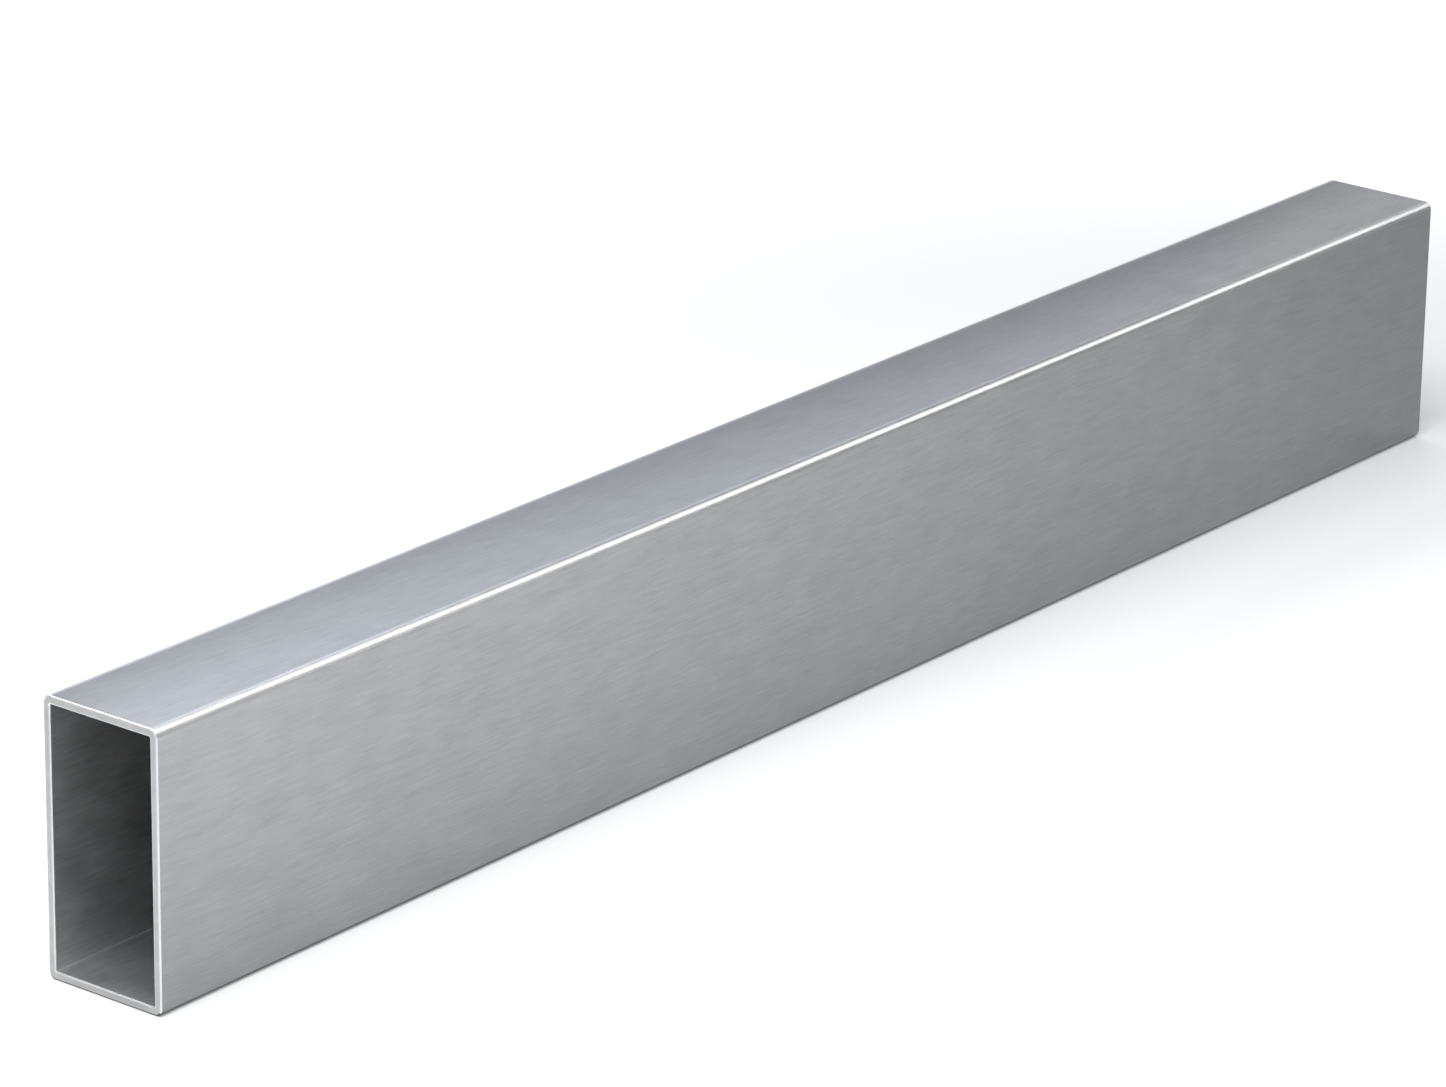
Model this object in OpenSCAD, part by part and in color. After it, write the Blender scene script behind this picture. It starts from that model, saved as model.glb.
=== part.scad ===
// Aluminium post: one length of rectangular box section, sawn square at both
// ends, lying on one of its narrow sides. The length runs along X, the width
// along Y, and the height along Z from the floor it lies on.

/* [Section] */
// Height of the section, measured over the outside
section_h = 100; // [60:1:150]
// Width of the section, measured over the outside
section_w = 50; // [30:1:80]
// Thickness of all four walls
wall = 3; // [2:0.5:6]
// Radius along the four long outer edges
outer_r = 3; // [1:0.5:4]
// Radius along the four long inner edges
inner_r = 0.5; // [0.2:0.1:1.5]

/* [Length] */
// Length of the post from one saw cut to the other
post_l = 750; // [200:10:3000]
// Width of the broken edge around each cut, inside and out
end_break = 0.5; // [0.2:0.1:0.8]

/* [Hidden] */
// How far the hollow is cut past each end, so that the cut is clean
past_end = 1;
bore_h = section_h - 2 * wall;
bore_w = section_w - 2 * wall;
$fn = 64;

// Outline of a slab seen from above: a rectangle whose ends narrow by "ease",
// or widen where it is negative, over the same distance along the length.
function eased_outline(length, width, ease) =
    let (
        end_x = length / 2,
        start_x = length / 2 - abs(ease),
        side_y = width / 2,
        end_y = width / 2 - ease
    )
    [
        [-end_x, -end_y], [-start_x, -side_y],
        [start_x, -side_y], [end_x, -end_y],
        [end_x, end_y], [start_x, side_y],
        [-start_x, side_y], [-end_x, end_y],
    ];

// Flat slab, centred, with its two long sides eased at the ends.
module slab(length, width, thickness, ease) {
    linear_extrude(height = thickness, center = true)
        polygon(eased_outline(length, width, ease));
}

// Round bar along X, centred, with each end eased by a short cone.
module corner_bar(length, radius, ease) {
    end_z = length / 2;
    start_z = length / 2 - abs(ease);
    profile = [
        [0, -end_z], [radius - ease, -end_z], [radius, -start_z],
        [radius, start_z], [radius - ease, end_z], [0, end_z],
    ];
    rotate([0, 90, 0]) rotate_extrude() polygon(profile);
}

// Bar of rounded rectangular section along X, centred, made of two crossed
// slabs and a round bar in each corner.
module rounded_bar(length, width, height, radius, ease) {
    flat_w = width - 2 * radius;
    flat_h = height - 2 * radius;
    slab(length, width, flat_h, ease);
    rotate([90, 0, 0]) slab(length, height, flat_w, ease);
    for (side_y = [-1, 1], side_z = [-1, 1])
        translate([0, side_y * flat_w / 2, side_z * flat_h / 2])
            corner_bar(length, radius, ease);
}

// The hollow that runs the whole length, a little wider at both mouths.
module bore() {
    bore_l = post_l + 2 * past_end;
    rounded_bar(bore_l, bore_w, bore_h, inner_r, -(end_break + past_end));
}

// The post itself, standing on the floor at z = 0.
module box_section() {
    color([0.72, 0.73, 0.75])
        translate([0, 0, section_h / 2])
            difference() {
                rounded_bar(post_l, section_w, section_h, outer_r, end_break);
                bore();
            }
}

box_section();
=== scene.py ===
"""Looks of the aluminium post: one length of brushed box section on a white floor.

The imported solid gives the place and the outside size. This script draws the
same section again with finely rounded edges, dresses its outside, its sawn
ends, its filed edges and its hollow, and sets up the floor, lamps and camera.
"""

import logging
import math
from dataclasses import dataclass, field
from enum import Enum
from typing import ClassVar, NamedTuple

import bpy
from mathutils import Matrix, Vector


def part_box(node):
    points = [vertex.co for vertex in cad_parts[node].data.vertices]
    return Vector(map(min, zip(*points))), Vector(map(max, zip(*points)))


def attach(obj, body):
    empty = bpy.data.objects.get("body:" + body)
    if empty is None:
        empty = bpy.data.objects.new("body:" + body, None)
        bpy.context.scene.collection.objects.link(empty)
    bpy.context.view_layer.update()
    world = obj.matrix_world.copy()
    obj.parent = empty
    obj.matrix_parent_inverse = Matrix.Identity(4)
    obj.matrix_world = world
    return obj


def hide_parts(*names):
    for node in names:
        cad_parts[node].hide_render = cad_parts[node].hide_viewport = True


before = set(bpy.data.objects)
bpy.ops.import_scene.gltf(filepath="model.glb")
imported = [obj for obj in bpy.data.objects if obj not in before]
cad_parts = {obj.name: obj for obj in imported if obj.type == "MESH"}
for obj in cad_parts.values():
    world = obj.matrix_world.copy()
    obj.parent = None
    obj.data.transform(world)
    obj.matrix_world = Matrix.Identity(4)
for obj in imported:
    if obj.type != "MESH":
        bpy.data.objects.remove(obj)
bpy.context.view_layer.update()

NODE = "box_section"
MM = 0.001
CORNERS = 4
QUARTER_TURN = math.pi / 2
PICTURE_WIDTH_PX = 1446
SENSOR_MM = 36.0

# Names of the mesh's painted light and shade values and of its map.
PAINTED_LIGHT_NAME = "painted_light"
MAP_NAME = "around_and_along"

# How much broader the strokes are on the narrow sides than on the wide ones.
FLAT_SPREAD = 1.7

# Values of the noise at which a pattern reaches its strength, down and up.
NOISE_LOW, NOISE_HIGH = 0.25, 0.75

log = logging.getLogger("post")

Colour = tuple[float, float, float]
Point = tuple[float, float, float]
Socket = bpy.types.NodeSocket


def rise(value: float, start: float, end: float) -> float:
    """Rises smoothly from 0 to 1.

    Args:
        value: Where to look.
        start: Where the rise begins.
        end: Where it is complete.

    Returns:
        The height of the rise there.
    """
    share = min(max((value - start) / (end - start), 0.0), 1.0)
    return share * share * (3.0 - 2.0 * share)


def pointing(heading: float, climb: float) -> Vector:
    """Turns two angles into a direction.

    Args:
        heading: Turn from +X towards +Y, in radians.
        climb: Angle above level, in radians.

    Returns:
        The direction, as a vector of length 1.
    """
    level = math.cos(climb)
    x, y = level * math.cos(heading), level * math.sin(heading)
    return Vector((x, y, math.sin(climb)))


class Zone(Enum):
    """The surfaces of the post, in the order of its material slots."""

    OUTSIDE = 0
    SAWN_END = 1
    FILED_EDGE = 2
    HOLLOW = 3


class RingPoint(NamedTuple):
    """One point of a ring across the post.

    Attributes:
        place: Where it lies in the plane across the post.
        outward: Direction away from the metal.
        girth: Distance walked round the outline to reach it.
        corner: Number of the corner it belongs to, from 0.
        share: How much of that corner has been passed; below 0 or above 1 on
            the strips beside it.
    """

    place: Vector
    outward: Vector
    girth: float
    corner: int
    share: float


class Station(NamedTuple):
    """One ring of the walk along the outside, over an end and back inside.

    Attributes:
        x: Its place along the post.
        outline: The section that it follows.
        inset: How far it lies inside that outline, negative for outside.
        tilt: Lean of its shading towards +X, in radians.
        zone: What the faces between it and the next ring show.
    """

    x: float
    outline: "Outline"
    inset: float
    tilt: float
    zone: Zone


class Ring(NamedTuple):
    """A station with its points."""

    station: Station
    points: list[RingPoint]


@dataclass(frozen=True)
class Outline:
    """A rectangle with rounded corners, in the plane across the post.

    Attributes:
        width: Full size along Y.
        height: Full size along Z.
        radius: Radius of each corner.
        middle: Height of its middle above the floor.
        facing: 1 where the metal lies inside the outline, -1 where it lies outside.
        wide_crown: Lean of the shading at the edges of the two wide sides, in
            radians, as if the rolls had left them very slightly domed.
        narrow_crown: The same on the two narrow sides.
        corner_steps: Straight steps in each corner's arc.
        lip: Width of the strip of each side that shares in the painted light and shade
            of the corner beside it.
    """

    width: float
    height: float
    radius: float
    middle: float
    facing: int
    wide_crown: float = 0.0
    narrow_crown: float = 0.0
    corner_steps: int = 16
    lip: float = 1 * MM

    def outward(self, corner: int, share: float) -> Vector:
        """Finds which way the surface faces on a rounded corner.

        Args:
            corner: Number of the corner, from 0.
            share: How much of the corner has been passed, from 0 to 1.

        Returns:
            The direction away from the metal.
        """
        crowns = (self.wide_crown, self.narrow_crown)
        before, after = crowns[corner % 2], crowns[(corner + 1) % 2]
        angle = corner * QUARTER_TURN + before
        angle += share * (QUARTER_TURN - before - after)
        return Vector((0.0, math.cos(angle), math.sin(angle))) * self.facing

    def arc(self, corner: int, inset: float) -> list[RingPoint]:
        """Walks round one corner.

        Args:
            corner: Number of the corner, from 0.
            inset: How far the ring lies inside the outline.

        Returns:
            The corner's points in order, with no girth yet.
        """
        start = corner * QUARTER_TURN
        halfway = start + QUARTER_TURN / 2
        across = math.copysign(self.width / 2 - self.radius, math.cos(halfway))
        up = math.copysign(self.height / 2 - self.radius, math.sin(halfway))
        centre = Vector((0.0, across, up + self.middle))
        points: list[RingPoint] = []
        for step in range(self.corner_steps + 1):
            share = step / self.corner_steps
            angle = start + share * QUARTER_TURN
            out = Vector((0.0, math.cos(angle), math.sin(angle)))
            place = centre + out * (self.radius - inset)
            outward = self.outward(corner, share)
            points.append(RingPoint(place, outward, 0.0, corner, share))
        return points

    def lips(self, last: RingPoint, first: RingPoint) -> list[RingPoint]:
        """Finds the two points that part a flat side from the strips at its edges.

        Args:
            last: Last point of the corner before the side.
            first: First point of the corner after it.

        Returns:
            The two points in order, with no girth yet.
        """
        length = (first.place - last.place).length
        strip = self.lip / (self.radius * QUARTER_TURN)
        points: list[RingPoint] = []
        for share, corner, past in (
            (self.lip / length, last.corner, 1.0 + strip),
            (1.0 - self.lip / length, first.corner, -strip),
        ):
            place = last.place.lerp(first.place, share)
            outward = last.outward.lerp(first.outward, share).normalized()
            points.append(RingPoint(place, outward, 0.0, corner, past))
        return points

    def ring(self, inset: float) -> list[RingPoint]:
        """Walks once round the outline.

        Args:
            inset: How far the ring lies inside the outline, negative for outside.

        Returns:
            The points in order, each with the direction away from the metal and
            the distance walked round the outline to reach it.
        """
        arcs = [self.arc(corner, inset) for corner in range(CORNERS)]
        path: list[RingPoint] = []
        for corner, points in enumerate(arcs):
            path += points + self.lips(points[-1], arcs[(corner + 1) % CORNERS][0])
        step = self.radius * QUARTER_TURN / self.corner_steps
        girth = 0.0
        ring: list[RingPoint] = []
        for here in path:
            if ring:
                on_arc = 0.0 < here.share <= 1.0
                girth += step if on_arc else (here.place - ring[-1].place).length
            ring.append(here._replace(girth=girth))
        return ring


@dataclass(frozen=True)
class PaintedHighlight:
    """How bright the painted highlight on a shoulder of the upper edges is.

    Attributes:
        near: Factor on the metal's colour at the end at -X.
        middle: The same over the middle of the post.
        far: The same at the end at +X.
        reach: Where the middle's factor gives way to an end's, as shares of
            half the post's length.
    """

    near: float
    middle: float
    far: float
    reach: tuple[float, float] = (0.35, 0.95)

    def at(self, along: float) -> float:
        """Finds the factor at a place along the post, from -1 to 1."""
        end = self.near if along < 0 else self.far
        return self.middle + (end - self.middle) * rise(abs(along), *self.reach)


@dataclass(frozen=True)
class PaintedLight:
    """Painted highlights and painted shade on the metal.

    Every result is a factor on the metal's colour. Ranges on a rounded edge
    are shares of its quarter turn, counted from the narrow side on the upper
    edges and from the wide side on the lower ones.

    Attributes:
        highlight_starts: Where the painted highlight band of the upper edge at -Y
            begins.
        back_highlight_starts: Where that of the upper edge at +Y begins.
        highlight_delay: How much later both begin at either end of the post.
        highlight_steps: Where its upper shoulder gives way to its lower one.
        highlight_ends: Where the painted highlight band ends.
        highlight_lean: How much further down it ends at the end at +X.
        upper_highlight: Painted highlight factors on its upper shoulder.
        lower_highlight: Painted highlight factors on its lower shoulder.
        shade_starts: Where the painted shade along the lower edges begins.
        shade_ends: Where it ends again underneath.
        edge_shade: Factor on the painted shade band, and on the outer filed edges that
            face down.
        crease_highlight: Painted highlight factor along the middle of the inner edges.
        filed_highlight: Painted highlight factor on the filed edges that face up.
        filed_facing: How steeply a filed edge must face up for its painted highlight,
            and down for its painted shade.
        painted_light_up: Painted light towards a wide side's upper edge.
        painted_shade_along: Painted light and shade drifting along the post.
        painted_shade_twist: Painted shade drifting towards the upper edge of the far
            end.
        painted_shade_end: Painted shade close to the far end.
        end_reach: Where that begins and is complete, in halves of the length.
        end_shade_twist: More painted shade towards the upper edge, over the far half.
        twist_reach: Where that begins and is complete.
        painted_fade: How fast the painted light and shade fade where a side turns into
            an edge.
    """

    # Painted highlight along the upper edges, and a lighter painted line on the strips
    # beside them.
    highlight_starts: tuple[float, float] = (-0.1, 0.24)
    back_highlight_starts: tuple[float, float] = (-0.21, 0.12)
    highlight_delay: float = 0.05
    highlight_steps: tuple[float, float] = (0.38, 0.6)
    highlight_ends: tuple[float, float] = (0.66, 0.88)
    highlight_lean: float = 0.05
    upper_highlight: PaintedHighlight = PaintedHighlight(near=2.9, middle=1.85, far=3.0)
    lower_highlight: PaintedHighlight = PaintedHighlight(near=2.4, middle=2.7, far=3.05)
    # Painted shade along the lower edges.
    shade_starts: tuple[float, float] = (0.30, 0.42)
    shade_ends: tuple[float, float] = (0.8, 1.0)
    edge_shade: float = 0.12
    # Painted highlight along the inner edges.
    crease_highlight: float = 1.9
    # Painted highlight on the filed edges that face up.
    filed_highlight: float = 1.25
    filed_facing: float = 0.7
    # Painted light towards the upper edge of the wide sides, painted shade along the
    # post and at its far end.
    painted_light_up: float = 0.08
    painted_shade_along: float = -0.115
    painted_shade_twist: float = -0.07
    painted_shade_end: float = -0.13
    end_reach: tuple[float, float] = (0.55, 1.0)
    end_shade_twist: float = -0.09
    twist_reach: tuple[float, float] = (0.3, 0.8)
    painted_fade: int = 8

    def crease_highlight_at(self, share: float) -> float:
        """Finds the painted highlight across an inner edge, or beside it."""
        turned = min(max(share, 0.0), 1.0)
        return 1.0 + (self.crease_highlight - 1.0) * math.sin(turned * math.pi)

    def edge_at(self, corner: int, share: float, along: float) -> float:
        """Finds the factor on a long outer edge: a painted highlight on the upper ones
        and painted shade on the lower ones.

        Args:
            corner: Number of the edge; 0 and 1 are the upper ones.
            share: How much of its quarter turn has been passed, from 0 to 1.
            along: Place along the post, from -1 to 1.

        Returns:
            The factor.
        """
        odd = corner % 2 == 1
        # Upper edges: a painted highlight band.
        if corner < 2:
            turned = share if odd else 1.0 - share
            upper, lower = self.upper_highlight.at(along), self.lower_highlight.at(along)
            highlighted = upper + (lower - upper) * rise(turned, *self.highlight_steps)
            starts = self.highlight_starts if odd else self.back_highlight_starts
            begun = rise(turned - self.highlight_delay * abs(along), *starts)
            ended = rise(turned - self.highlight_lean * along, *self.highlight_ends)
            return 1.0 + (highlighted - 1.0) * (begun * (1.0 - ended))
        # Lower edges: a painted shade band.
        turned = 1.0 - share if odd else share
        begun, ended = rise(turned, *self.shade_starts), rise(turned, *self.shade_ends)
        return 1.0 + (self.edge_shade - 1.0) * (begun * (1.0 - ended))

    def filed_at(self, facing_up: float, outer: bool) -> float:
        """Finds the factor on the filed edge round a cut: a painted highlight where it
        faces up, painted shade on the outer edge where it faces down.

        Args:
            facing_up: How far its wall faces up, from -1 to 1.
            outer: Whether it is the outer edge of the cut.

        Returns:
            The factor.
        """
        if facing_up > self.filed_facing:
            return self.filed_highlight
        return self.edge_shade if outer and facing_up < -self.filed_facing else 1.0

    def painted_tone_at(self, up: float, along: float, facing: float) -> float:
        """Finds the painted light and shade that drift over the wide sides of the
        outside.

        Args:
            up: Height on the post, from -1 to 1.
            along: Place along the post, from -1 to 1.
            facing: How far the surface faces sideways, from -1 to 1.

        Returns:
            The factor.
        """
        late_twist = self.end_shade_twist * rise(along, *self.twist_reach)
        twist = self.painted_shade_twist * along + late_twist
        end = self.painted_shade_end * rise(along, *self.end_reach)
        change = (self.painted_light_up + twist) * up + self.painted_shade_along * along + end
        return 1.0 + change * abs(facing) ** self.painted_fade


@dataclass(frozen=True)
class Strokes:
    """A streaky pattern stretched along one axis of the post.

    Attributes:
        length: Length of a typical stroke along the post.
        breadth: Breadth of a typical stroke on an upright face.
        detail: Octaves of finer strokes inside the large ones.
        strength: How far the pattern moves what it drives, to each side.
    """

    length: float
    breadth: float
    detail: float
    strength: float


class NodeBench:
    """Adds and joins shader nodes in one material."""

    def __init__(self, name: str) -> None:
        """Starts an empty material.

        Args:
            name: The material's name.
        """
        self.material = bpy.data.materials.new(name)
        self.material.use_nodes = True
        self.tree = self.material.node_tree
        self.tree.nodes.clear()
        self.output = self.add("ShaderNodeOutputMaterial")

    def add(self, kind: str, **settings: object) -> bpy.types.Node:
        """Adds a node.

        Args:
            kind: Blender's name for the kind of node.
            **settings: Attributes to set on it.

        Returns:
            The new node.
        """
        node = self.tree.nodes.new(kind)
        for name, value in settings.items():
            setattr(node, name, value)
        return node

    def join(self, source: Socket, target: Socket) -> None:
        """Links an output to an input."""
        self.tree.links.new(source, target)

    def sum_up(self, parts: list[Socket], start: float) -> Socket:
        """Adds values to a starting number.

        Args:
            parts: The values to add.
            start: The number to start from.

        Returns:
            The output that holds the sum.
        """
        total = None
        for part in parts:
            plus = self.add("ShaderNodeMath", operation="ADD")
            if total is None:
                plus.inputs[0].default_value = start
            else:
                self.join(total, plus.inputs[0])
            self.join(part, plus.inputs[1])
            total = plus.outputs[0]
        return total

    def streaks(self, strokes: Strokes) -> Socket:
        """Makes a pattern of strokes along the post, centred on nought.

        Args:
            strokes: The size and strength of the pattern.

        Returns:
            The output that holds the pattern.
        """
        where = self.add("ShaderNodeTexCoord")
        stretch = self.add("ShaderNodeMapping")
        stretch.inputs["Scale"].default_value = (
            1 / strokes.length,
            1 / (strokes.breadth * FLAT_SPREAD),
            1 / strokes.breadth,
        )
        noise = self.add("ShaderNodeTexNoise")
        noise.inputs["Scale"].default_value = 1.0
        noise.inputs["Detail"].default_value = strokes.detail
        spread = self.add("ShaderNodeMapRange", clamp=False)
        spread.inputs["From Min"].default_value = NOISE_LOW
        spread.inputs["From Max"].default_value = NOISE_HIGH
        spread.inputs["To Min"].default_value = -strokes.strength
        spread.inputs["To Max"].default_value = strokes.strength
        self.join(where.outputs["Object"], stretch.inputs["Vector"])
        self.join(stretch.outputs["Vector"], noise.inputs["Vector"])
        self.join(noise.outputs["Fac"], spread.inputs["Value"])
        return spread.outputs["Result"]


@dataclass(frozen=True)
class Metal:
    """A bare aluminium surface.

    Attributes:
        name: The material's name.
        colour: Reflectance at its middle tone.
        roughness: Roughness at its middle tone.
        tone: Patterns that lighten and darken the colour.
        polish: Patterns that change the roughness.
        relief: Pattern that roughens the surface.
        relief_depth: Depth of the relief.
        grain: How far the highlight is drawn out across the strokes.
        painted_light_on: Whether the mesh's painted light and shade show on it.
    """

    name: str
    colour: Colour
    roughness: float
    tone: tuple[Strokes, ...]
    polish: tuple[Strokes, ...]
    relief: Strokes
    relief_depth: float
    grain: float = 0.0
    painted_light_on: bool = True

    def material(self) -> bpy.types.Material:
        """Builds the material.

        Returns:
            The finished material.
        """
        bench = NodeBench(self.name)
        shader = bench.add("ShaderNodeBsdfPrincipled")
        shader.inputs["Metallic"].default_value = 1.0
        shader.inputs["Anisotropic"].default_value = self.grain
        shader.inputs["Base Color"].default_value = (*self.colour, 1.0)
        shader.inputs["Roughness"].default_value = self.roughness
        bench.join(self.tinted(bench), shader.inputs["Base Color"])
        rough = bench.sum_up([bench.streaks(s) for s in self.polish], self.roughness)
        bench.join(rough, shader.inputs["Roughness"])
        bump = bench.add("ShaderNodeBump")
        bump.inputs["Strength"].default_value = 1.0
        bump.inputs["Distance"].default_value = self.relief_depth
        bench.join(bench.streaks(self.relief), bump.inputs["Height"])
        bench.join(bump.outputs["Normal"], shader.inputs["Normal"])
        if self.grain:
            tangent = bench.add("ShaderNodeTangent", direction_type="UV_MAP")
            tangent.uv_map = MAP_NAME
            bench.join(tangent.outputs["Tangent"], shader.inputs["Tangent"])
        bench.join(shader.outputs["BSDF"], bench.output.inputs["Surface"])
        return bench.material

    def tinted(self, bench: NodeBench) -> Socket:
        """Makes the colour, varied by its patterns and by the painted light and shade.

        Args:
            bench: The material.

        Returns:
            The output that holds the colour.
        """
        factor = bench.sum_up([bench.streaks(s) for s in self.tone], 1.0)
        if self.painted_light_on:
            # The painted light and shade stored on the mesh, multiplied into the
            # colour.
            painted_light = bench.add("ShaderNodeAttribute", attribute_name=PAINTED_LIGHT_NAME)
            times = bench.add("ShaderNodeMath", operation="MULTIPLY")
            bench.join(factor, times.inputs[0])
            bench.join(painted_light.outputs["Fac"], times.inputs[1])
            factor = times.outputs[0]
        tint = bench.add("ShaderNodeVectorMath", operation="SCALE")
        tint.inputs[0].default_value = self.colour
        bench.join(factor, tint.inputs["Scale"])
        return tint.outputs["Vector"]


BRUSH_STROKES = Strokes(length=10 * MM, breadth=0.6 * MM, detail=2.0, strength=0.07)
BRUSH_BANDS = Strokes(length=26 * MM, breadth=3.2 * MM, detail=2.0, strength=0.03)
CLOUDS = Strokes(length=14 * MM, breadth=11 * MM, detail=3.0, strength=0.045)

BRUSHED = Metal(
    name="brushed_aluminium",
    colour=(0.317, 0.320, 0.327),
    roughness=0.38,
    tone=(BRUSH_STROKES, BRUSH_BANDS, CLOUDS),
    polish=(Strokes(length=9 * MM, breadth=0.9 * MM, detail=2.0, strength=0.02),),
    relief=Strokes(length=9 * MM, breadth=0.5 * MM, detail=2.0, strength=1.0),
    relief_depth=0.003 * MM,
    grain=0.1,
)
SAWN = Metal(
    name="sawn_aluminium",
    colour=(0.485, 0.48, 0.475),
    roughness=0.42,
    tone=(Strokes(length=5 * MM, breadth=5 * MM, detail=4.0, strength=0.09),),
    polish=(Strokes(length=2 * MM, breadth=2 * MM, detail=3.0, strength=0.04),),
    relief=Strokes(length=1 * MM, breadth=0.5 * MM, detail=3.0, strength=1.0),
    relief_depth=0.006 * MM,
    painted_light_on=False,
)
FILED = Metal(
    name="filed_edge",
    colour=(0.76, 0.76, 0.76),
    roughness=0.42,
    tone=(Strokes(length=3 * MM, breadth=3 * MM, detail=3.0, strength=0.05),),
    polish=(Strokes(length=2 * MM, breadth=2 * MM, detail=2.0, strength=0.03),),
    relief=Strokes(length=0.8 * MM, breadth=0.6 * MM, detail=2.0, strength=1.0),
    relief_depth=0.004 * MM,
)
HOLLOW_FINISH = Metal(
    name="mill_finish",
    colour=(0.70, 0.70, 0.70),
    roughness=0.5,
    tone=(
        Strokes(length=14 * MM, breadth=1.0 * MM, detail=2.0, strength=0.10),
        Strokes(length=20 * MM, breadth=12 * MM, detail=3.0, strength=0.13),
    ),
    polish=(Strokes(length=14 * MM, breadth=1.5 * MM, detail=2.0, strength=0.04),),
    relief=Strokes(length=14 * MM, breadth=0.8 * MM, detail=2.0, strength=1.0),
    relief_depth=0.005 * MM,
)


@dataclass
class BoxSection:
    """The post: a hollow rectangular section with rounded edges.

    Attributes:
        wall: Wall thickness.
        outer_radius: Radius of the long outer edges.
        inner_radius: Radius of the long inner edges.
        wide_crown: Lean of the shading at the edges of the wide sides.
        narrow_crown: Lean of the shading at the edges of the narrow sides.
        end_break: Size of the filed edge round each cut.
        edge_steps: Straight steps across a filed edge.
        spans: Lengths into which the long faces are divided.
        painted_light: Painted highlights and painted shade on the metal, as factors on
            its colour.
        finishes: The finish of each surface.
    """

    wall: float = 3 * MM
    outer_radius: float = 3 * MM
    inner_radius: float = 0.5 * MM
    wide_crown: float = math.radians(1.7)
    narrow_crown: float = math.radians(3.6)
    end_break: float = 0.5 * MM
    edge_steps: int = 4
    spans: int = 30
    painted_light: PaintedLight = field(default_factory=PaintedLight)
    finishes: dict[Zone, Metal] = field(
        default_factory=lambda: {
            Zone.OUTSIDE: BRUSHED,
            Zone.SAWN_END: SAWN,
            Zone.FILED_EDGE: FILED,
            Zone.HOLLOW: HOLLOW_FINISH,
        }
    )

    def __post_init__(self) -> None:
        """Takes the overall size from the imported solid."""
        low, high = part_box(NODE)
        self.start, self.end = low.x, high.x
        size = high - low
        self.outer = Outline(
            width=size.y,
            height=size.z,
            radius=self.outer_radius,
            middle=(low.z + high.z) / 2,
            facing=1,
            wide_crown=self.wide_crown,
            narrow_crown=self.narrow_crown,
        )
        self.inner = Outline(
            width=size.y - 2 * self.wall,
            height=size.z - 2 * self.wall,
            radius=self.inner_radius,
            middle=self.outer.middle,
            facing=-1,
        )

    def walk(self) -> list[Ring]:
        """Lists the rings of the whole surface.

        Returns:
            The rings along the outside, over the far end, back through the
            hollow and over the near end. The last joins up with the first.
        """
        outside = self.long_face(self.outer, Zone.OUTSIDE, 1)
        hollow = self.long_face(self.inner, Zone.HOLLOW, -1)
        stations = outside + self.end_rings(1) + hollow + self.end_rings(-1)
        return [Ring(s, s.outline.ring(s.inset)) for s in stations]

    def long_face(self, outline: Outline, zone: Zone, way: int) -> list[Station]:
        """Lists the rings along the outside or the hollow.

        Args:
            outline: The section followed.
            zone: What the rings lie on.
            way: 1 to walk towards +X, -1 to walk back.

        Returns:
            The rings in order.
        """
        low, high = self.start + self.end_break, self.end - self.end_break
        first, last = (low, high) if way > 0 else (high, low)
        stations: list[Station] = []
        for i in range(self.spans + 1):
            x = first + (last - first) * i / self.spans
            next_zone = zone if i < self.spans else Zone.FILED_EDGE
            stations.append(Station(x, outline, 0.0, 0.0, next_zone))
        return stations

    def end_rings(self, side: int) -> list[Station]:
        """Lists the rings over one cut end, without those on the long faces.

        Args:
            side: 1 for the end at +X, walked from the outside in, and -1 for
                the end at -X, walked from the hollow out.

        Returns:
            The rings in order.
        """
        cut = self.end if side > 0 else self.start
        outer_turn, inner_turn = [], []
        for i in range(1, self.edge_steps + 1):
            turn = i / self.edge_steps * QUARTER_TURN
            inset = self.end_break * (1 - math.cos(turn))
            x = cut - side * self.end_break * (1 - math.sin(turn))
            outer_turn.append((x, self.outer, inset, side * turn))
            inner_turn.append((x, self.inner, -inset, side * turn))
        if side > 0:
            path = outer_turn + inner_turn[::-1]
        else:
            path = inner_turn + outer_turn[::-1]
        face_after = self.edge_steps - 1
        return [
            Station(*ring, Zone.SAWN_END if i == face_after else Zone.FILED_EDGE)
            for i, ring in enumerate(path)
        ]

    def build(self) -> bpy.types.Object:
        """Makes the post's mesh, dresses it and puts it on its body.

        Returns:
            The finished object.
        """
        rings = self.walk()
        mesh = self.skin(rings)
        self.lay_map(mesh, rings)
        self.lay_painted_light(mesh, rings)
        self.shade(mesh, rings)
        post = bpy.data.objects.new("post", mesh)
        bpy.context.scene.collection.objects.link(post)
        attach(post, "root")
        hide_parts(NODE)
        return post

    def skin(self, rings: list[Ring]) -> bpy.types.Mesh:
        """Joins the rings into one closed surface and gives it its finishes.

        Args:
            rings: The rings in order.

        Returns:
            The mesh, with its faces in the order of the rings.
        """
        places: list[Point] = []
        faces: list[tuple[int, int, int, int]] = []
        zones: list[Zone] = []
        for row, (station, points) in enumerate(rings):
            around = len(points)
            here, there = row * around, ((row + 1) % len(rings)) * around
            for i, point in enumerate(points):
                j = (i + 1) % around
                places.append((station.x, point.place.y, point.place.z))
                faces.append((here + i, here + j, there + j, there + i))
                zones.append(station.zone)
        mesh = bpy.data.meshes.new("post")
        mesh.from_pydata(places, [], faces)
        for finish in self.finishes.values():
            mesh.materials.append(finish.material())
        for polygon, zone in zip(mesh.polygons, zones, strict=True):
            polygon.material_index = zone.value
            polygon.use_smooth = True
        return mesh

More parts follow.
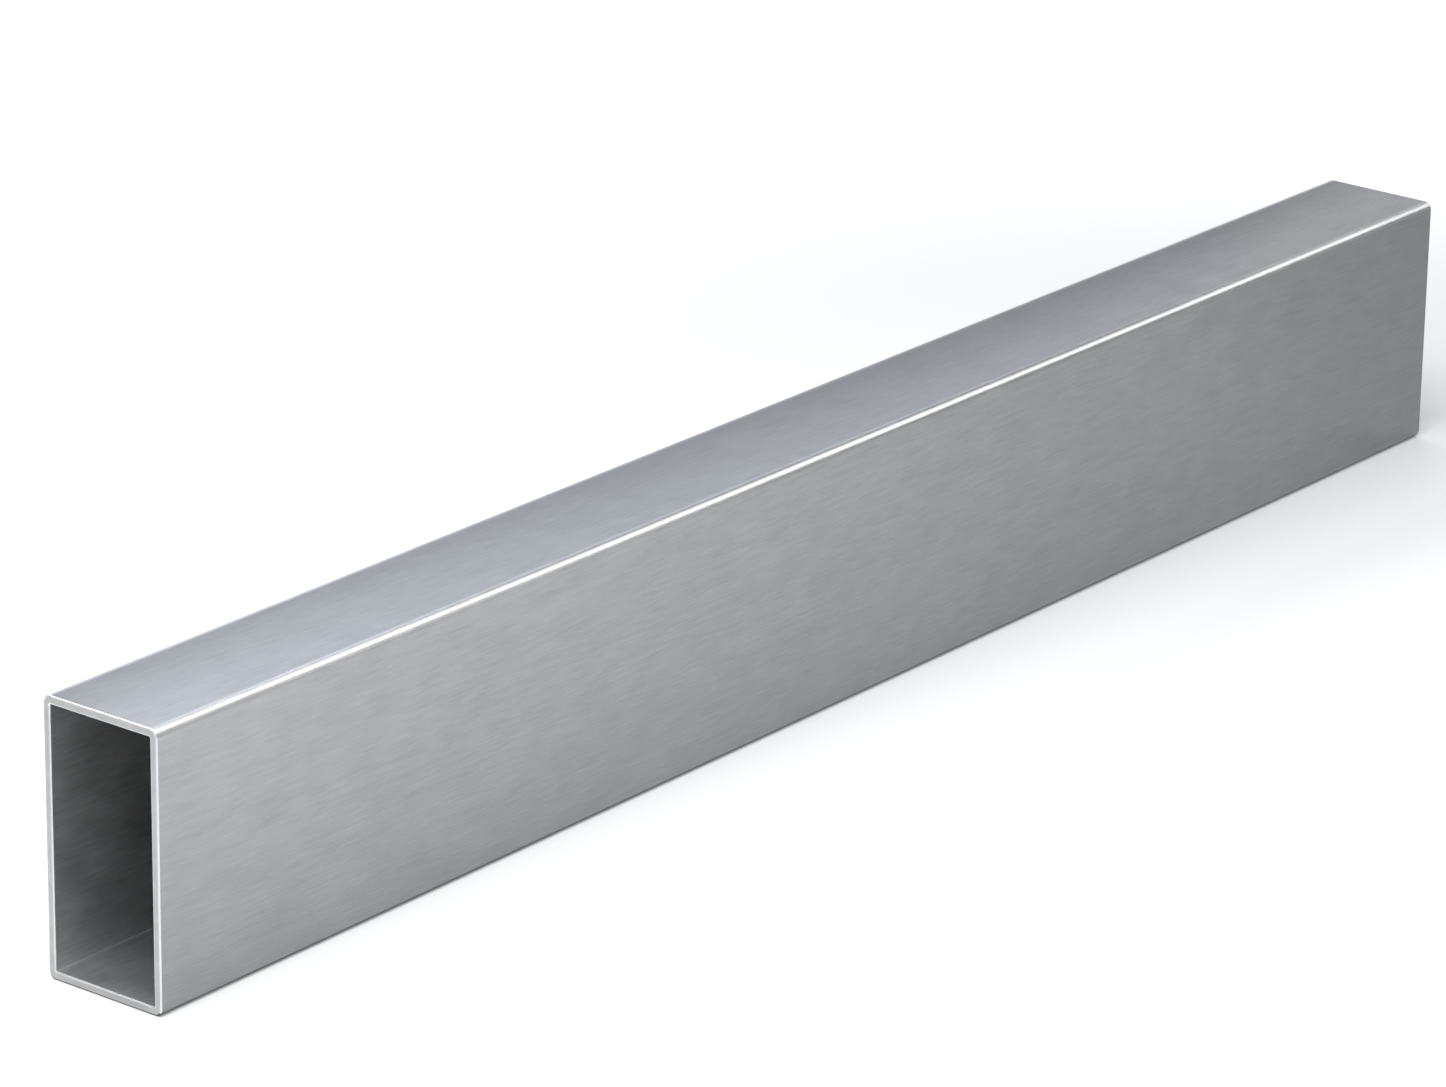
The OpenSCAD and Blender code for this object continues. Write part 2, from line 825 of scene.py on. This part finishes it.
    def lay_map(self, mesh: bpy.types.Mesh, rings: list[Ring]) -> None:
        """Lays the map whose U runs across the strokes of each surface.

        Args:
            mesh: The post's mesh.
            rings: Its rings.
        """
        around = len(rings[0].points)
        layer = mesh.uv_layers.new(name=MAP_NAME)
        for polygon in mesh.polygons:
            row, column = divmod(polygon.index, around)
            sawn = rings[row].station.zone is Zone.SAWN_END
            for corner in polygon.loop_indices:
                vertex_row, i = divmod(mesh.loops[corner].vertex_index, around)
                station, points = rings[vertex_row]
                place, girth = points[i].place, points[i].girth
                if column == around - 1 and i == 0:
                    girth = points[-1].girth + (place - points[-1].place).length
                across = (place.y, place.z)
                layer.data[corner].uv = across if sawn else (girth, station.x)

    def lay_painted_light(self, mesh: bpy.types.Mesh, rings: list[Ring]) -> None:
        """Stores the painted light and shade of each vertex, for the finishes to use.

        Args:
            mesh: The post's mesh.
            rings: Its rings.
        """
        painted_light = [self.painted_light_on(station, p) for station, points in rings for p in points]
        values = mesh.attributes.new(PAINTED_LIGHT_NAME, "FLOAT", "POINT")
        values.data.foreach_set("value", painted_light)

    def shade(self, mesh: bpy.types.Mesh, rings: list[Ring]) -> None:
        """Sets which way each vertex is shaded as facing.

        Args:
            mesh: The post's mesh.
            rings: Its rings.
        """
        normals: list[Vector] = []
        for station, points in rings:
            lean = Vector((math.sin(station.tilt), 0.0, 0.0))
            level = math.cos(station.tilt)
            normals += [(lean + p.outward * level).normalized() for p in points]
        mesh.update()
        mesh.normals_split_custom_set_from_vertices([tuple(n) for n in normals])

    def painted_light_on(self, station: Station, point: RingPoint) -> float:
        """Finds the painted light and shade at a place on the post.

        Args:
            station: The ring that the place is on.
            point: The place on the ring.

        Returns:
            A factor on the metal's colour.
        """
        outer = station.outline is self.outer
        # Filed edges: painted highlight where they face up, painted shade on the outer
        # ones where they face down.
        if station.tilt and (not outer or station.inset > 0):
            filed = self.painted_light.filed_at(point.outward.z, outer)
            if filed != 1.0:
                return filed
        # Hollow and inner edges: painted highlight along the inner edges.
        if not outer:
            return self.painted_light.crease_highlight_at(point.share)
        along = 2.0 * station.x / (self.end - self.start)
        # Long outer edges: painted highlight on the upper ones, painted shade on the
        # lower ones.
        factor = self.painted_light.edge_at(point.corner, point.share, along)
        if station.tilt:
            return factor
        # Long faces: painted light and shade drifting over the wide sides.
        up = 2.0 * (point.place.z - self.outer.middle) / self.outer.height
        return factor * self.painted_light.painted_tone_at(up, along, point.outward.y)


WHITE: Colour = (1.0, 1.0, 1.0)
COOL_WHITE: Colour = (0.975, 1.0, 1.03)
COOL: Colour = (0.935, 0.98, 1.06)


@dataclass(frozen=True)
class SoftBox:
    """A rectangular studio lamp that faces the post.

    Attributes:
        name: The lamp's name.
        heading_deg: Where it hangs round the post, turned from +X towards +Y.
        rise_deg: How high it hangs, as an angle above the post.
        distance: How far from the post it hangs.
        width: Size across.
        height: Size up and down.
        brightness: How bright it looks, where 1 is a lit white surface.
        colour: Tint of its light.
    """

    # Watts that each square metre of a lamp needs to look as bright as 1.
    WATTS_PER_BRIGHTNESS: ClassVar[float] = math.pi
    # Height that the lamps face, which is half the height of the post.
    AIM_HEIGHT: ClassVar[float] = 50 * MM

    name: str
    heading_deg: float
    rise_deg: float
    distance: float
    width: float
    height: float
    brightness: float
    colour: Colour = WHITE

    def hang(self) -> bpy.types.Object:
        """Adds the lamp to the scene.

        Returns:
            The lamp's object.
        """
        lamp = bpy.data.lights.new(self.name, "AREA")
        lamp.shape = "RECTANGLE"
        lamp.size, lamp.size_y = self.width, self.height
        power = self.brightness * self.width * self.height
        lamp.energy = power * self.WATTS_PER_BRIGHTNESS
        lamp.color = self.colour
        outward = pointing(math.radians(self.heading_deg), math.radians(self.rise_deg))
        place = Vector((0.0, 0.0, self.AIM_HEIGHT)) + outward * self.distance
        facing = (-outward).to_track_quat("-Z", "Y")
        holder = bpy.data.objects.new(self.name, lamp)
        holder.matrix_world = Matrix.LocRotScale(place, facing, None)
        holder.visible_camera = False
        bpy.context.scene.collection.objects.link(holder)
        return holder


@dataclass(frozen=True)
class Studio:
    """The white floor, the even light around it and the lamps.

    Attributes:
        floor_size: Length of the floor's sides.
        floor_tone: Reflectance of the floor.
        floor_glow: White that the floor shows to the camera and in reflections.
        far_glow: More of the same white, outside the lamps' own patch of floor.
        far_rise: Distances from that patch at which the far glow begins and is
            complete.
        patch_middle: Middle of that patch.
        patch_reach: Distances from its middle to its edges, along X and Y.
        surround: Brightness of the room.
        lamps: The lamps.
    """

    floor_size: float = 60.0
    floor_tone: float = 0.8
    floor_glow: float = 0.165
    far_glow: float = 0.80
    far_rise: tuple[float, float] = (0.22, 0.8)
    patch_middle: tuple[float, float] = (-0.2, -0.2375)
    patch_reach: tuple[float, float] = (0.475, 0.2625)
    surround: float = 0.045
    # Each lamp's name, heading, rise, distance, width, height, brightness, tint.
    lamps: tuple[SoftBox, ...] = (
        SoftBox("back_small", 55.2, 42.4, 1.74, 0.34, 0.61, 1.89, COOL),
        SoftBox("key_low", -33.8, 33.3, 2.21, 0.68, 0.71, 3.38),
        SoftBox("far_end", 19.2, 19.2, 1.84, 0.54, 0.55, 1.14),
        SoftBox("key_high", -20.9, 45.7, 2.10, 0.85, 1.04, 1.85),
        SoftBox("near_end", 197.8, 58.5, 0.90, 0.89, 0.85, 4.52, COOL_WHITE),
        SoftBox("back_large", 44.4, 37.9, 1.85, 1.12, 1.06, 1.69, COOL),
        SoftBox("front", -69.9, 13.2, 0.58, 0.26, 0.10, 3.65),
        SoftBox("edge_light", 118.0, 48.0, 1.20, 0.38, 0.38, 8.00),
    )

    def set_up(self) -> list[bpy.types.Object]:
        """Lights the room, lays the floor and hangs the lamps.

        Returns:
            The floor and the lamps.
        """
        self.light_room()
        return [self.lay_floor(), *(lamp.hang() for lamp in self.lamps)]

    def lay_floor(self) -> bpy.types.Object:
        """Lays the floor under the post.

        Returns:
            The floor's object.
        """
        half = self.floor_size / 2
        mesh = bpy.data.meshes.new("floor")
        sides = ((-half, -half), (half, -half), (half, half), (-half, half))
        mesh.from_pydata([(x, y, 0.0) for x, y in sides], [], [(0, 1, 2, 3)])
        mesh.materials.append(self.floor_material())
        floor = bpy.data.objects.new("floor", mesh)
        bpy.context.scene.collection.objects.link(floor)
        return floor

    def floor_material(self) -> bpy.types.Material:
        """Makes the floor's matt white.

        Returns:
            The finished material.
        """
        bench = NodeBench("white_floor")
        matt = bench.add("ShaderNodeBsdfDiffuse")
        tone = self.floor_tone
        matt.inputs["Color"].default_value = (tone, tone, tone, 1.0)
        glow = bench.add("ShaderNodeEmission")
        rays = bench.add("ShaderNodeLightPath")
        kinds = ("Camera", "Glossy", "Transmission")
        seen = bench.sum_up([rays.outputs[f"Is {kind} Ray"] for kind in kinds], 0.0)
        seen.node.use_clamp = True
        strength = bench.add("ShaderNodeMath", operation="MULTIPLY")
        both = bench.add("ShaderNodeAddShader")
        bench.join(seen, strength.inputs[0])
        bench.join(self.glow_strength(bench), strength.inputs[1])
        bench.join(strength.outputs[0], glow.inputs["Strength"])
        bench.join(matt.outputs["BSDF"], both.inputs[0])
        bench.join(glow.outputs["Emission"], both.inputs[1])
        bench.join(both.outputs["Shader"], bench.output.inputs["Surface"])
        return bench.material

    def glow_strength(self, bench: NodeBench) -> Socket:
        """Makes the floor's glow, which grows where the lamps' light falls off.

        Args:
            bench: The floor's material.

        Returns:
            The output that holds the strength.
        """
        where = bench.add("ShaderNodeTexCoord")
        centred = bench.add("ShaderNodeVectorMath", operation="SUBTRACT")
        centred.inputs[1].default_value = (*self.patch_middle, 0.0)
        folded = bench.add("ShaderNodeVectorMath", operation="ABSOLUTE")
        past = bench.add("ShaderNodeVectorMath", operation="SUBTRACT")
        past.inputs[1].default_value = (*self.patch_reach, 0.0)
        outside = bench.add("ShaderNodeVectorMath", operation="MAXIMUM")
        outside.inputs[1].default_value = (0.0, 0.0, 0.0)
        distance = bench.add("ShaderNodeVectorMath", operation="LENGTH")
        ramp = bench.add("ShaderNodeMapRange", interpolation_type="SMOOTHSTEP")
        ramp.inputs["From Min"].default_value = self.far_rise[0]
        ramp.inputs["From Max"].default_value = self.far_rise[1]
        ramp.inputs["To Min"].default_value = self.floor_glow
        ramp.inputs["To Max"].default_value = self.floor_glow + self.far_glow
        bench.join(where.outputs["Object"], centred.inputs[0])
        bench.join(centred.outputs["Vector"], folded.inputs[0])
        bench.join(folded.outputs["Vector"], past.inputs[0])
        bench.join(past.outputs["Vector"], outside.inputs[0])
        bench.join(outside.outputs["Vector"], distance.inputs[0])
        bench.join(distance.outputs["Value"], ramp.inputs["Value"])
        return ramp.outputs["Result"]

    def light_room(self) -> None:
        """Gives the room its even light."""
        world = bpy.data.worlds.new("room")
        world.use_nodes = True
        background = world.node_tree.nodes["Background"]
        background.inputs["Color"].default_value = (*WHITE, 1.0)
        background.inputs["Strength"].default_value = self.surround
        bpy.context.scene.world = world


@dataclass(frozen=True)
class PhotoCamera:
    """The camera, at the photograph's angle.

    Attributes:
        place: Where the camera stands.
        heading_deg: Direction it looks in, turned from +X towards +Y.
        dip_deg: How far it looks down.
        roll_deg: How far it is tipped about its line of sight.
        focal_px: Focal length in pixels of the photograph.
    """

    # Distances between which the camera sees.
    NEAREST: ClassVar[float] = 0.01
    FARTHEST: ClassVar[float] = 100.0

    place: Point = (-1.76146, -1.33936, 0.86608)
    heading_deg: float = 38.0956
    dip_deg: float = 20.2023
    roll_deg: float = -0.8462
    focal_px: float = 6456.9

    def stand(self) -> bpy.types.Object:
        """Adds the camera and makes it the scene's.

        Returns:
            The camera's object.
        """
        ahead = pointing(math.radians(self.heading_deg), -math.radians(self.dip_deg))
        roll = math.radians(self.roll_deg)
        right = ahead.cross(Vector((0.0, 0.0, 1.0))).normalized()
        down = ahead.cross(right)
        tipped_right = right * math.cos(roll) + down * math.sin(roll)
        tipped_down = down * math.cos(roll) - right * math.sin(roll)
        turn = Matrix((tipped_right, -tipped_down, -ahead)).transposed()
        lens = bpy.data.cameras.new("photo_camera")
        lens.sensor_fit = "HORIZONTAL"
        lens.sensor_width = SENSOR_MM
        lens.lens = self.focal_px * SENSOR_MM / PICTURE_WIDTH_PX
        lens.clip_start, lens.clip_end = self.NEAREST, self.FARTHEST
        camera = bpy.data.objects.new("photo_camera", lens)
        camera.matrix_world = Matrix.Translation(self.place) @ turn.to_4x4()
        bpy.context.scene.collection.objects.link(camera)
        bpy.context.scene.camera = camera
        return camera


def main() -> None:
    """Builds the post, then its surroundings, and reports each piece."""
    logging.basicConfig(level=logging.INFO, format="%(name)s: %(message)s")
    bpy.context.scene.view_settings.view_transform = "Standard"
    post = BoxSection().build()
    log.info("%s: %d faces", post.name, len(post.data.polygons))
    for piece in (*Studio().set_up(), PhotoCamera().stand()):
        place = tuple(round(v, 3) for v in piece.location)
        log.info("%s stands at %s", piece.name, place)


if __name__ == "__main__":
    main()
